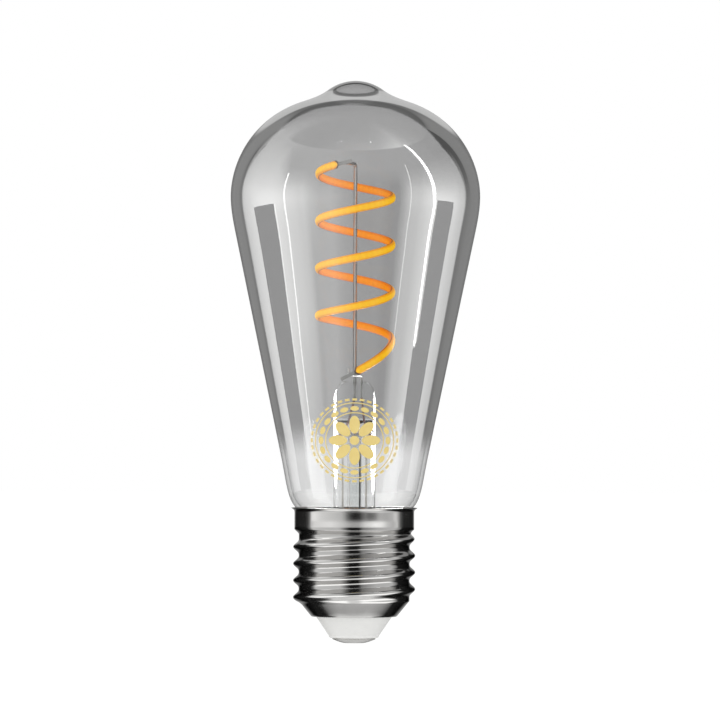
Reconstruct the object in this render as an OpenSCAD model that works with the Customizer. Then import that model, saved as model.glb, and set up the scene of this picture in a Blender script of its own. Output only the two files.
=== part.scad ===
// Filament lamp with one spiral LED filament, a drop-shaped glass bulb and an E27 screw cap.
// It stands cap down. The origin is the centre of the bottom contact, and +Z runs up the lamp's
// axis to the tip of the glass. -Y is the front. All sizes are in millimetres.

/* [Glass bulb] */
// Largest diameter of the glass
bulb_d = 54; // [50:0.5:60]
// Thickness of the glass
glass_wall = 0.8; // [0.5:0.05:1.2]
// Height of the curved shoulder above the rim of the cap
shoulder_h = 11.3; // [9:0.1:16]
// How far the shoulder swells out from the cap, on each side
shoulder_swell = 3.2; // [2:0.1:4.5]
// Height of the straight taper above the shoulder
taper_h = 46.4; // [36:0.2:60]
// How far the belly swells out above the taper, on each side
belly_swell = 1.4; // [0.8:0.1:3]
// Height from the top of the taper to the widest ring
belly_h = 9.5; // [6:0.1:14]
// Height of the dome above the widest ring
dome_h = 20.6; // [17:0.1:26]
// Diameter at the top of the dome, where the tip starts
crown_d = 24.8; // [21:0.2:30]
// Height of the tip above the dome
tip_h = 4.5; // [3.8:0.1:6]
// Radius of the ball that rounds off the tip
tip_r = 11.2; // [9:0.1:14]
// Diameter at which that ball ends
tip_ball_d = 12.4; // [9:0.1:14]
// Outside diameter of the glass neck inside the cap
neck_d = 22; // [20:0.1:22.6]
// How far the neck reaches down below the rim of the cap
neck_depth = 10; // [8:0.1:11.5]

/* [Screw cap] */
// Outside diameter of the thread's crests
thread_d = 26.4; // [26.05:0.05:26.45]
// Outside diameter of the thread's roots
root_d = 23.96; // [23.96:0.02:24.26]
// Pitch of the thread, seven turns to the inch
pitch = 3.629; // [3.5:0.001:3.8]
// Height of the threaded part
thread_h = 14.4; // [13:0.1:17]
// Power of the cosine that draws the thread: higher makes narrower crests
crest_power = 1.4; // [1:0.1:3]
// Height of the crest above the cone, on the +X side
crest_h = 2.57; // [2:0.01:3.4]
// Turns that the thread takes to rise to its full height
run_out = 0.3; // [0.15:0.05:0.6]
// Thickness of the sheet
cap_wall = 0.3; // [0.2:0.02:0.4]
// Outside diameter of the collar
collar_d = 25.9; // [25.2:0.1:26.4]
// Height of the collar
collar_h = 4.1; // [3:0.1:6]
// Height of the step between the thread and the collar
collar_step = 1.05; // [0.3:0.05:1.4]
// Outside diameter of the flared rim
rim_d = 27.3; // [26.6:0.1:28]
// Height of the flared rim
rim_h = 0.55; // [0.3:0.05:1]
// Height of the cone below the thread
cone_h = 3.1; // [2.4:0.1:4]
// Outside diameter at the bottom of the cone
cone_d = 18.6; // [17.8:0.1:20]
// Diameter of the hole in the cap's bottom lip
lip_d = 16.4; // [15:0.1:17]

/* [Insulator and contact] */
// Height of the insulator below the cap
insulator_h = 4.6; // [3.5:0.1:6]
// Diameter of the insulator's lower end
insulator_d = 10.9; // [10.2:0.1:12]
// Radius of the insulator's lower edge
insulator_edge = 0.5; // [0.2:0.05:0.6]
// Height of the insulator inside the cap, above the lip
insulator_top_h = 2.1; // [1.5:0.1:2.8]
// Diameter of the centre contact
contact_d = 9.4; // [8.5:0.1:9.8]
// Height of the centre contact's dome
contact_h = 1.1; // [0.8:0.05:1.5]
// Diameter of the flat in the middle of the contact
contact_flat_d = 4.6; // [3:0.1:6]
// Diameter of the contact's pin
pin_d = 2.4; // [1.8:0.1:3]
// Length of the contact's pin
pin_h = 4; // [2.5:0.1:5]

/* [Glass stem] */
// Outside diameter of the stem's tube
stem_d = 9; // [8.4:0.1:10]
// Wall of the stem's tube
stem_wall = 1; // [0.8:0.05:1.2]
// Height of the stem's top above the rim of the cap
stem_h = 27.3; // [22:0.1:34]
// Height of the solid glass press at the top of the stem
press_h = 13.5; // [12.5:0.1:15]
// Thickness of the flattened press
press_t = 4.2; // [3.2:0.1:5]
// Height of the flared foot that is sealed to the neck
flare_h = 8.5; // [6:0.1:10]
// Outside diameter of the exhaust tube
exhaust_d = 3.2; // [2.6:0.1:3.6]
// Wall of the exhaust tube
exhaust_wall = 0.6; // [0.4:0.05:0.8]
// How far the exhaust tube ends above the driver board
exhaust_gap = 4; // [2.5:0.1:6]

/* [Filament] */
// Diameter of the spiral, at the middle of the strip
coil_d = 16; // [13:0.2:19]
// Rise of the spiral in one turn
coil_pitch = 10.25; // [8:0.05:12]
// Turns of the spiral
coil_turns = 3.925; // [3:0.025:4.2]
// Height of the spiral's lower end above the stem
coil_lift = 2.85; // [2.5:0.05:4.5]
// Extra rise in the spiral's first third of a turn
first_rise = 3.7; // [2:0.1:5]
// How far the lowest turn is tilted up at the back. The tilt fades towards the top.
coil_tilt = 0.95; // [0:0.05:1.2]
// Width of the strip
strip_w = 1.7; // [1.2:0.05:2]
// Thickness of the strip
strip_t = 0.14; // [0.1:0.01:0.2]
// Thickness of the phosphor coat on each face of the strip
coat_t = 0.64; // [0.4:0.02:0.8]
// Bare length of the strip at each end of the coat
bare_l = 0.3; // [0.1:0.05:1]
// Length of the metal tab at each end of the strip
tab_l = 3; // [2:0.1:4]
// Width of the tabs
tab_w = 0.8; // [0.5:0.05:1.2]
// Thickness of the tabs
tab_t = 0.25; // [0.15:0.01:0.4]

/* [Wires] */
// Diameter of the long lead wire, which also holds the filament up
long_lead_d = 0.8; // [0.6:0.05:1]
// Diameter of the short lead wire
short_lead_d = 0.5; // [0.4:0.05:0.7]
// Distance between the two lead wires at the top of the stem
lead_gap = 1.5; // [1.2:0.05:2.4]
// How far the lead wires reach down into the press
lead_depth = 3.5; // [2:0.1:4.5]
// Diameter of the wires that are sealed into the press and of those below it
seal_wire_d = 0.45; // [0.3:0.05:0.6]
// Distance of the wires below the press from the axis
seal_wire_x = 2.55; // [2.35:0.05:2.8]
// Diameter of the wires to the shell and to the contact
feed_wire_d = 0.6; // [0.4:0.05:0.8]
// Inside radius of the bends in the wires
bend_r = 0.7; // [0.5:0.05:0.9]

/* [Driver] */
// Diameter of the driver board
board_d = 19; // [18:0.1:19.4]
// Thickness of the driver board
board_t = 1; // [0.8:0.1:1.6]
// Height of the carrier's ledge, on which the board rests
carrier_h = 3.4; // [2.8:0.1:4]
// Outside diameter of the carrier
carrier_d = 20.4; // [20.2:0.1:20.6]
// Width of the ledge under the board's edge
ledge_w = 0.7; // [0.5:0.05:1]
// Diameter of the smoothing capacitor
capacitor_d = 5; // [4:0.1:5.2]
// Length of the smoothing capacitor
capacitor_l = 8.4; // [7:0.1:9]
// Diameter of the inductor
inductor_d = 5; // [4:0.1:5.2]
// Height of the inductor
inductor_h = 4.2; // [3:0.1:5]
// Width of the radio module
radio_w = 7; // [6:0.1:7.4]
// Height of the radio module
radio_h = 4.6; // [4:0.1:5]
// Thickness of the radio module's board
radio_t = 0.8; // [0.6:0.05:1]
// Diameter of the aerial wire
aerial_d = 0.35; // [0.3:0.05:0.6]
// Clearance between the end of the aerial and the top of the stem's bore
aerial_gap = 1.8; // [0.5:0.1:8]
// Diameter of the fusible resistor
resistor_d = 2.4; // [1.8:0.1:2.8]
// Length of the fusible resistor
resistor_l = 4.2; // [3.2:0.1:4.6]

/* [Hidden] */
$fn = 64;
// Faces around the rolled sheet of the cap, and steps in one pitch of its thread
shell_sides = 48;
thread_steps = 8;
// Largest angle from one ring of the spiral to the next
coil_step = 12;
// Clearances: between a part and the sheet around it, and around the driver board
sheet_gap = 0.05;
board_gap = 0.1;
// How far a spot weld sinks a wire into what it holds
weld = 0.03;

// Levels, from the contact upwards
lip_z = contact_h + insulator_h;
cone_z = lip_z + cap_wall;
thread_z = cone_z + cone_h;
collar_z = thread_z + thread_h + collar_step;
rim_z = collar_z + collar_h + rim_h;
insulator_top_z = cone_z + insulator_top_h;
board_z = insulator_top_z + carrier_h;
board_top_z = board_z + board_t;
seal_z = rim_z - neck_depth;
stem_top_z = rim_z + stem_h;
press_z = stem_top_z - press_h;
lead_end_z = stem_top_z - lead_depth;
coil_z = stem_top_z + coil_lift;

// Radii that several parts share
collar_in_r = collar_d / 2 - cap_wall;
root_in_r = root_d / 2 - cap_wall;
flat_share = cos(180 / shell_sides);
stem_r = stem_d / 2;
neck_in_r = neck_d / 2 - glass_wall;
coil_r = coil_d / 2;
coil_a0 = -90;
coil_a1 = coil_a0 + 360 * coil_turns;
rings = ceil((coil_a1 - coil_a0) / coil_step);
ring_step = (coil_a1 - coil_a0) / rings;
first_span = 110;

// A cubic curve through four control points, and a list of its points without the last one
function curve(p, t) =
    pow(1 - t, 3) * p[0] + 3 * t * pow(1 - t, 2) * p[1] + 3 * t * t * (1 - t) * p[2] + t * t * t * p[3];
function curve_points(p, n) = [for (i = [0 : n - 1]) curve(p, i / n)];
function unit(v) = v / norm(v);
function ease(t) = t <= 0 ? 0 : t >= 1 ? 1 : t * t * (3 - 2 * t);

// ---- Glass bulb ----

mouth_p = [collar_in_r + 0.1, rim_z + 0.1];
shoulder_p = [mouth_p[0] + shoulder_swell, mouth_p[1] + shoulder_h];
taper_p = [bulb_d / 2 - belly_swell, shoulder_p[1] + taper_h];
widest_p = [bulb_d / 2, taper_p[1] + belly_h];
crown_p = [crown_d / 2, widest_p[1] + dome_h];
tip_z = crown_p[1] + tip_h;
tip_angle = asin(tip_ball_d / 2 / tip_r);
ball_p = [tip_ball_d / 2, tip_z - tip_r * (1 - cos(tip_angle))];

mouth_dir = unit([1, 1]);
taper_dir = unit(taper_p - shoulder_p);
crown_dir = unit([-1, 0.35]);
ball_dir = [-cos(tip_angle), sin(tip_angle)];

// The neck widens from a plain tube to the mouth of the cap
neck_top_z = collar_z + 0.2;
neck_steps = 8;
neck_curve = [[neck_d / 2, neck_top_z], [neck_d / 2, neck_top_z + 0.55 * (mouth_p[1] - neck_top_z)],
    mouth_p - 1.4 * mouth_dir, mouth_p];
shoulder_curve = [mouth_p, mouth_p + 0.22 * shoulder_h * mouth_dir,
    shoulder_p - 0.5 * shoulder_h * taper_dir, shoulder_p];
belly_curve = [taper_p, taper_p + 0.33 * belly_h * taper_dir, widest_p - [0, 0.33 * belly_h], widest_p];
dome_curve = [widest_p, widest_p + [0, 0.49 * dome_h],
    crown_p - 0.55 * (widest_p[0] - crown_p[0]) * crown_dir, crown_p];
tip_curve = [crown_p, crown_p + 0.35 * (crown_p[0] - ball_p[0]) * crown_dir,
    ball_p - 0.35 * (crown_p[0] - ball_p[0]) * ball_dir, ball_p];

glass_outside = concat(
    [[neck_d / 2, seal_z]],
    curve_points(neck_curve, neck_steps),
    curve_points(shoulder_curve, 8),
    [shoulder_p],
    curve_points(belly_curve, 5),
    curve_points(dome_curve, 14),
    curve_points(tip_curve, 6),
    [for (i = [0 : 6]) [0, tip_z - tip_r] + tip_r * [sin(tip_angle * (1 - i / 6)), cos(tip_angle * (1 - i / 6))]]);

// The outline moved inwards by t, square to the surface. Its last point lies on the axis.
function moved_in(p, t) = let (n = len(p) - 1) concat(
    [for (i = [0 : n - 1]) let (d = unit(p[i + 1] - p[max(i - 1, 0)])) p[i] + t * [-d[1], d[0]]],
    [p[n] - [0, t]]);
function reversed(p) = [for (i = [len(p) - 1 : -1 : 0]) p[i]];

module glass_bulb() {
    color("gray", 0.4)
    rotate_extrude($fn = 96)
        polygon(concat(glass_outside, reversed(moved_in(glass_outside, glass_wall))));
}

// ---- Glass stem ----

stem_in_r = stem_r - stem_wall;
flare_top_z = seal_z + flare_h;
foot_h = 1;
flare_curve = [[neck_in_r, seal_z + foot_h], [neck_in_r - 3.2, seal_z + foot_h + 0.9],
    [stem_r, flare_top_z - 5], [stem_r, flare_top_z]];
flare_in_curve = [[neck_in_r - 1.3, seal_z], [neck_in_r - 4, seal_z + 1.2],
    [stem_in_r, flare_top_z - 5], [stem_in_r, flare_top_z]];
stem_round = 4.5;
stem_tip_r = 2.4;
stem_outline = concat(
    [[neck_in_r, seal_z]],
    curve_points(flare_curve, 10),
    [[stem_r, flare_top_z]],
    [for (i = [0 : 6]) [stem_tip_r + (stem_r - stem_tip_r) * cos(15 * i),
        stem_top_z - stem_round * (1 - sin(15 * i))]],
    [[0, stem_top_z], [0, press_z], [stem_in_r, press_z], [stem_in_r, flare_top_z]],
    reversed(curve_points(flare_in_curve, 10)));

// The press is squeezed flat, front and back, above the end of the tube's bore
squeeze_z = press_z + 1.6;
squeeze_h = 4;
squeeze_side = concat(
    [[neck_d / 2, seal_z - 1], [neck_d / 2, flare_top_z + 1], [stem_r + 0.2, flare_top_z + 1.2]],
    [for (i = [0 : 8]) [stem_r + 0.2 - (stem_r + 0.2 - press_t / 2) * ease(i / 8), squeeze_z + squeeze_h * i / 8]],
    [[press_t / 2, stem_top_z + 1]]);

module stem() {
    hole_d = exhaust_d - 2 * exhaust_wall;
    color("lightcyan", 0.5)
    difference() {
        intersection() {
            rotate_extrude($fn = 96) polygon(stem_outline);
            rotate([90, 0, 90])
                linear_extrude(2 * neck_d, center = true)
                    polygon(concat(squeeze_side, reversed([for (p = squeeze_side) [-p[0], p[1]]])));
        }
        // The hole through which the bulb was filled with gas opens at the back of the press
        translate([0, 0, press_z - 1]) cylinder(d = hole_d, h = 1 + 1.5);
        translate([0, 0, press_z + 1.5]) sphere(d = hole_d + 0.3);
        translate([0, 0, press_z + 1.5]) rotate([-90, 0, 0]) cylinder(d = hole_d, h = stem_r + 1);
        seal_wires();
        translate([0, 0, lead_end_z]) cylinder(d = long_lead_d, h = lead_depth + 1);
        translate([lead_gap, 0, lead_end_z]) cylinder(d = short_lead_d, h = lead_depth + 1);
    }
}

module exhaust_tube() {
    low_z = board_top_z + exhaust_gap;
    r = exhaust_d / 2;
    color("lightcyan", 0.5)
    difference() {
        union() {
            translate([0, 0, low_z + r]) cylinder(r = r, h = press_z - low_z - r);
            translate([0, 0, low_z + r]) sphere(r = r);
        }
        translate([0, 0, low_z + 2 * r]) cylinder(r = r - exhaust_wall, h = press_z - low_z);
    }
}

// ---- Wires ----

// A bend of wire that starts upwards and turns towards +X. What follows it goes on from its end.
module bend(d, r, angle) {
    translate([r, 0, 0])
        rotate([90, 0, 0])
            rotate([0, 0, 180 - angle])
                rotate_extrude(angle = angle, $fn = 96)
                    translate([r, 0]) circle(d = d);
    translate([r, 0, 0]) rotate([0, angle, 0]) translate([-r, 0, 0]) children();
}

// A straight wire, a bend, a slanting run, a bend back and a straight wire: it moves s towards +X
module jog(d, s, low, high, angle, r) {
    run = (s - 2 * r * (1 - cos(angle))) / sin(angle);
    cylinder(d = d, h = low);
    translate([0, 0, low])
        bend(d, r, angle) {
            cylinder(d = d, h = run);
            translate([0, 0, run])
                mirror([1, 0, 0])
                    bend(d, r, angle)
                        cylinder(d = d, h = high);
        }
}
function jog_h(s, angle, r) = 2 * r * sin(angle) + (s - 2 * r * (1 - cos(angle))) / sin(angle) * cos(angle);

// A wire that goes up and then turns towards +X
module elbow(d, up, out, r) {
    cylinder(d = d, h = up - r);
    translate([0, 0, up - r])
        bend(d, r, 90)
            cylinder(d = d, h = out - r);
}

module long_lead_wire() {
    tab_a = coil_a1 + tab_angle / 2;
    r = bend_r + long_lead_d / 2;
    color("silver")
    translate([0, 0, lead_end_z])
        rotate([0, 0, tab_a])
            elbow(long_lead_d, coil_height(tab_a) - lead_end_z, coil_r - tab_t / 2 + weld, r);
}

module short_lead_wire() {
    tab_a = coil_a0 - tab_angle / 2;
    weld_r = coil_r - tab_t / 2 - short_lead_d / 2 + weld;
    target = weld_r * [cos(tab_a), sin(tab_a)] - [lead_gap, 0];
    r = bend_r + short_lead_d / 2;
    low = lead_depth + 0.3;
    high = coil_height(tab_a) + 1.6 - lead_end_z - low - 2 * r;
    color("silver")
    translate([lead_gap, 0, lead_end_z])
        rotate([0, 0, atan2(target[1], target[0])])
            jog(short_lead_d, norm(target), low, high, 90, r);
}

// Two slanting wires through the press, from the foot of each lead wire to the bore of the tube
module seal_wires() {
    h = lead_end_z - press_z;
    color("sienna")
    for (ends = [[0, -seal_wire_x], [lead_gap, seal_wire_x]]) {
        lean = atan((ends[1] - ends[0]) / h);
        intersection() {
            translate([ends[1], 0, press_z])
                rotate([0, -lean, 0])
                    translate([0, 0, -1]) cylinder(d = seal_wire_d, h = h / cos(lean) + 2);
            translate([-stem_r, -stem_r, press_z]) cube([stem_d, stem_d, h]);
        }
    }
}

module outer_lead_wires() {
    color("peru")
    for (x = [-seal_wire_x, seal_wire_x])
        translate([x, 0, board_z]) cylinder(d = seal_wire_d, h = press_z - board_z);
}

module shell_feed_wire() {
    r = bend_r + feed_wire_d / 2;
    color("red")
    translate([shell_pad_x, 0, board_z])
        elbow(feed_wire_d, board_t + r + 0.3, root_in_r * flat_share + weld - shell_pad_x, r);
}

module contact_feed_wire() {
    color("silver")
    translate([0, 0, contact_h + pin_h - pin_hole_h])
        cylinder(d = feed_wire_d, h = board_top_z - contact_h - pin_h + pin_hole_h);
}

// ---- Filament ----

tab_angle = tab_l / coil_r * 180 / PI;
tab_rings = tab_angle / ring_step;
tab_steps = ceil(tab_rings);
bare_rings = bare_l / coil_r * 180 / PI / ring_step;
coat_rings = concat(bare_rings, [for (i = [1 : rings - 1]) if (i > bare_rings && i < rings - bare_rings) i],
    rings - bare_rings);

function tilt_share(a) = (coil_a1 - a) / (coil_a1 - coil_a0);

// Height of the spiral at an angle, and how steeply it climbs there. It starts steeper than it goes on.
function coil_height(a) = let (t = (a - coil_a0) / first_span)
    coil_z + coil_pitch * (a - coil_a0) / 360 + coil_tilt * tilt_share(a) * sin(a)
    + first_rise * (t <= 0 ? t * 4 / 3 : t >= 1 ? 1 : (4 * t - pow(t, 4)) / 3);
function coil_slope(a) = let (t = (a - coil_a0) / first_span)
    (coil_pitch / 360 + first_rise / first_span * (t <= 0 ? 4 / 3 : t >= 1 ? 0 : (4 - 4 * pow(t, 3)) / 3)
    + coil_tilt * (tilt_share(a) * cos(a) * PI / 180 - sin(a) / (coil_a1 - coil_a0))) * 180 / PI / coil_r;

// A point of the spiral's section: u outwards from the strip's middle, v across the strip
function coil_point(a, u, v) =
    let (s = coil_slope(a), across = unit([s * sin(a), -s * cos(a), 1]))
    [(coil_r + u) * cos(a), (coil_r + u) * sin(a), coil_height(a)] + v * across;

// A point of the section at ring i. Ring 0 is the strip's lower end. Between two rings the strip is flat.
function ring_point(i, p) = let (k = floor(i), f = i - k, a = coil_a0 + ring_step * k)
    i < 0 || i > rings ? coil_point(coil_a0 + ring_step * i, p[0], p[1]) :
    (1 - f) * coil_point(a, p[0], p[1]) + f * coil_point(a + ring_step, p[0], p[1]);

// A closed section swept along the spiral, through a list of rings
module swept(section, at_rings) {
    n = len(at_rings) - 1;
    m = len(section);
    points = [for (i = at_rings, p = section) ring_point(i, p)];
    sides = [for (i = [0 : n - 1], j = [0 : m - 1], half = [0, 1])
        let (a = i * m + j, b = i * m + (j + 1) % m)
        half == 0 ? [a, b + m, b] : [a, a + m, b + m]];
    polyhedron(points, concat(sides, [[for (j = [0 : m - 1]) j], [for (j = [m - 1 : -1 : 0]) n * m + j]]),
        convexity = 8);
}
function bar(t, w) = [[-t / 2, w / 2], [t / 2, w / 2], [t / 2, -w / 2], [-t / 2, -w / 2]];
function coat(side) = [for (i = [0 : 5]) let (a = side * (90 - 36 * i))
    [side * (strip_t / 2 + coat_t * cos(a)), strip_w / 2 * sin(a)]];

module filament_strip() {
    color("dimgray") swept(bar(strip_t, strip_w), [for (i = [0 : rings]) i]);
}

module filament_outer_phosphor() {
    color("gold") swept(coat(1), coat_rings);
}

module filament_inner_phosphor() {
    color("orange") swept(coat(-1), coat_rings);
}

module upper_end_tab() {
    color("silver") swept(bar(tab_t, tab_w), [for (i = [0 : tab_steps]) rings + tab_rings * i / tab_steps]);
}

module lower_end_tab() {
    color("silver") swept(bar(tab_t, tab_w), [for (i = [0 : tab_steps]) tab_rings * (i / tab_steps - 1)]);
}

// ---- Screw cap ----

// Turns of the crest nearest to a point of the threaded part, counted from the cone up
first_crest = thread_z + crest_h;
function crest_turns(a, z) = round((z - first_crest) / pitch - a / 360) + a / 360;
thread_start = -0.5;
thread_end = (thread_h - 1.2 - crest_h) / pitch;
function crest_share(t) = ease((t - thread_start) / run_out + 1) * ease((thread_end - t) / run_out + 1);
function thread_r(a, z) = let (t = crest_turns(a, z), u = z - first_crest - pitch * t)
    root_d / 2 + (thread_d - root_d) / 2 * crest_share(t) * pow((1 + cos(360 * u / pitch)) / 2, crest_power);

// The thread's rows climb with it. Each is kept between the two ends of the threaded part.
rows_below = ceil((crest_h + pitch) / pitch);
row_z0 = first_crest - pitch * rows_below;
thread_top_z = thread_z + thread_h;
row_count = ceil(thread_steps * (thread_top_z - row_z0) / pitch);
function row_z(i, j) =
    min(max(row_z0 + pitch * (i / shell_sides + j / thread_steps), thread_z), thread_top_z);

// Rings of the sheet's outer face: two below the thread, its rows, and four above it
below = [[lip_d / 2, lip_z], [cone_d / 2, lip_z]];
above = [[collar_d / 2, collar_z], [collar_d / 2, rim_z - rim_h],
    [rim_d / 2 - 0.1, rim_z - 0.12], [rim_d / 2, rim_z]];
below_in = [[lip_d / 2, cone_z], [cone_d / 2 - cap_wall, cone_z]];
above_in = [[collar_in_r, collar_z + 0.1], [collar_in_r, rim_z - rim_h + 0.1],
    [rim_d / 2 - cap_wall - 0.1, rim_z - 0.02], [rim_d / 2 - 0.1, rim_z]];
first_row = len(below);
last_row = first_row + row_count;
ring_count = last_row + 1 + len(above);

function at(a, p) = [p[0] * cos(a), p[0] * sin(a), p[1]];
function sheet_ring(i, k, inner) = let (a = 360 * i / shell_sides)
    k < first_row ? at(a, inner ? below_in[k] : below[k]) :
    k > last_row ? at(a, inner ? above_in[k - last_row - 1] : above[k - last_row - 1]) :
    let (z = row_z(i, k - first_row)) at(a, [thread_r(a, z) - (inner ? cap_wall : 0), z]);

// After one turn a row meets the row that is one pitch higher
function sheet_index(i, v) = let (
    inner = v >= ring_count,
    k = inner ? 2 * ring_count - 1 - v : v,
    wraps = i == shell_sides,
    on_thread = k >= first_row && k <= last_row,
    k2 = wraps && on_thread ? min(k + thread_steps, last_row) : k)
    (wraps ? 0 : i) * 2 * ring_count + (inner ? 2 * ring_count - 1 - k2 : k2);

module screw_shell() {
    rings = 2 * ring_count;
    points = [for (i = [0 : shell_sides - 1], v = [0 : rings - 1])
        sheet_ring(i, v < ring_count ? v : rings - 1 - v, v >= ring_count)];
    faces = [for (i = [0 : shell_sides - 1], v = [0 : rings - 1], half = [0, 1]) let (
            w = (v + 1) % rings,
            f = half == 0 ?
                [sheet_index(i, v), sheet_index(i, w), sheet_index(i + 1, w)] :
                [sheet_index(i, v), sheet_index(i + 1, w), sheet_index(i + 1, v)])
        if (points[f[0]] != points[f[1]] && points[f[1]] != points[f[2]] && points[f[0]] != points[f[2]]) f];
    color("silver") polyhedron(points, faces, convexity = 8);
}

module basing_cement() {
    steps = neck_steps - 2;
    inside = [for (i = [0 : steps]) curve(neck_curve, i / neck_steps)];
    color("white")
    rotate_extrude($fn = 96)
        polygon(concat(inside, [[collar_in_r * flat_share, inside[steps][1]],
            [collar_in_r * flat_share, inside[0][1]]]));
}

// ---- Insulator and contact ----

pin_hole_h = 1.5;
// Half the angle that the contact's dome spans
dome_r = (pow(contact_d / 2, 2) + pow(contact_h, 2)) / 2 / contact_h;
dome_a0 = asin(contact_flat_d / 2 / dome_r);
dome_a1 = asin(contact_d / 2 / dome_r);
contact_edge = 0.25;

module cap_insulator() {
    // The cone of the cap leans outwards; the insulator keeps clear of it
    lean = (root_d / 2 - cone_d / 2) / cone_h;
    wide_r = cone_d / 2 - cap_wall - sheet_gap;
    outline = concat(
        [[pin_d / 2, contact_h]],
        [for (i = [0 : 4]) [insulator_d / 2 - insulator_edge * (1 - sin(22.5 * i)),
            contact_h + insulator_edge * (1 - cos(22.5 * i))]],
        [[lip_d / 2 - sheet_gap, lip_z - 0.1], [lip_d / 2 - sheet_gap, cone_z], [wide_r * flat_share, cone_z],
            [(wide_r + lean * insulator_top_h) * flat_share, insulator_top_z],
            [3.2, insulator_top_z], [pin_d / 2, contact_h + pin_h]]);
    color("white") rotate_extrude($fn = 96) polygon(outline);
}

module centre_contact() {
    dome = [for (i = [0 : 6]) let (a = dome_a0 + (dome_a1 - dome_a0) * i / 6)
        [dome_r * sin(a), dome_r * (cos(dome_a0) - cos(a))]];
    low = dome[6][1];
    color("gainsboro")
    difference() {
        rotate_extrude($fn = 96)
            polygon(concat([[0, 0]], dome, [[contact_d / 2, max(low, contact_h - contact_edge)],
                [contact_d / 2 - 0.1, contact_h], [pin_d / 2, contact_h],
                [pin_d / 2, contact_h + pin_h], [0, contact_h + pin_h]]));
        contact_feed_wire();
    }
}

// ---- Driver ----

shell_pad_x = board_d / 2 - 1.2;
rectifier_x = board_d / 2 - 4.5;
driver_chip_x = 4.05 - board_d / 2;

module board_carrier() {
    r = carrier_d / 2;
    color("ivory")
    rotate_extrude()
        polygon([[board_d / 2 - ledge_w, insulator_top_z], [r, insulator_top_z], [r, board_top_z],
            [board_d / 2 + board_gap, board_top_z], [board_d / 2 + board_gap, board_z],
            [board_d / 2 - ledge_w, board_z]]);
}

module driver_board() {
    color("darkgreen")
    difference() {
        translate([0, 0, board_z]) cylinder(d = board_d, h = board_t);
        outer_lead_wires();
        contact_feed_wire();
        shell_feed_wire();
    }
}

// A chip on the underside of the board, with its body clear of it and its legs on it
module chip(size, legs, reach) {
    lift = 0.15;
    translate([0, 0, board_z - lift - size[2] / 2]) cube(size, center = true);
    for (side = [-1, 1], i = [0 : legs - 1])
        translate([(i - (legs - 1) / 2) * size[0] / legs, side * (size[1] + reach) / 2, 0]) {
            translate([0, 0, board_z - lift / 2]) cube([0.4, reach, lift], center = true);
            translate([0, -side * reach / 4, board_z - lift - size[2] / 4])
                cube([0.4, reach / 2, size[2] / 2], center = true);
        }
}

module rectifier() {
    color("dimgray") translate([rectifier_x, 0, 0]) rotate([0, 0, 90]) chip([4.7, 3.8, 1.5], 2, 1.4);
}

module driver_chip() {
    color("dimgray") translate([driver_chip_x, 0, 0]) rotate([0, 0, 90]) chip([4.9, 3.8, 1.4], 4, 1.2);
}

// A can on its side, with the rolled groove near its leads' end
module smoothing_capacitor() {
    r = capacitor_d / 2;
    l = capacitor_l;
    edge = 0.4;
    color("darkslategray")
    translate([-l / 2, 3 + r, board_top_z + r])
        rotate([0, 90, 0])
            rotate_extrude()
                polygon([[0, 0], [r - edge, 0], [r, edge], [r, 1.1], [r - 0.3, 1.4], [r, 1.7],
                    [r, l - edge], [r - edge, l], [0, l]]);
}

// A drum of ferrite with its winding
module inductor() {
    r = inductor_d / 2;
    h = inductor_h;
    color("saddlebrown")
    translate([-4.6, -4.6, board_top_z])
        rotate_extrude()
            polygon([[0, 0], [r, 0], [r, 0.7], [r - 0.5, 0.9], [r - 0.5, h - 0.9], [r, h - 0.7], [r, h], [0, h]]);
}

module fusible_resistor() {
    r = resistor_d / 2;
    l = resistor_l;
    room = board_z - contact_h - pin_h;
    color("teal")
    translate([0, 0, contact_h + pin_h + (room - l) / 2])
        rotate_extrude()
            polygon([[feed_wire_d / 2, 0], [r - 0.3, 0], [r, 0.3], [r, 0.9], [r - 0.2, 1.2],
                [r - 0.2, l - 1.2], [r, l - 0.9], [r, l - 0.3], [r - 0.3, l], [feed_wire_d / 2, l]]);
}

radio_x = 3.1;
radio_y = -5.6;
aerial_x = 1.1;
aerial_y = -2.35;

// A small board on edge, with a shielded chip on the side that faces the axis
module radio_module() {
    can = [radio_w - 2.4, 1, radio_h - 1.6];
    color("royalblue")
    translate([radio_x, radio_y, board_top_z]) {
        translate([-radio_w / 2, -radio_t / 2, 0]) cube([radio_w, radio_t, radio_h]);
        translate([-can[0] / 2 + 0.4, radio_t / 2, 0.6]) cube(can);
    }
}

// The aerial rises from the module into the stem, where no metal shields it
module radio_aerial() {
    r = bend_r + aerial_d / 2;
    way = aerial_y - radio_y;
    low = 0.4;
    start_z = board_top_z + radio_h;
    color("black")
    translate([aerial_x, radio_y, start_z])
        rotate([0, 0, 90])
            jog(aerial_d, way, low, press_z - aerial_gap - start_z - low - jog_h(way, 45, r), 45, r);
}

glass_bulb();
stem();
exhaust_tube();
long_lead_wire();
short_lead_wire();
seal_wires();
outer_lead_wires();
filament_strip();
filament_outer_phosphor();
filament_inner_phosphor();
upper_end_tab();
lower_end_tab();
screw_shell();
basing_cement();
cap_insulator();
centre_contact();
board_carrier();
driver_board();
rectifier();
driver_chip();
smoothing_capacitor();
inductor();
fusible_resistor();
radio_module();
radio_aerial();
shell_feed_wire();
contact_feed_wire();
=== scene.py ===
# Filament lamp: a smoked glass bulb, a spiral filament on a glass stem, and a rolled screw cap
import math

import bpy
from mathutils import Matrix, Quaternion, Vector


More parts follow.
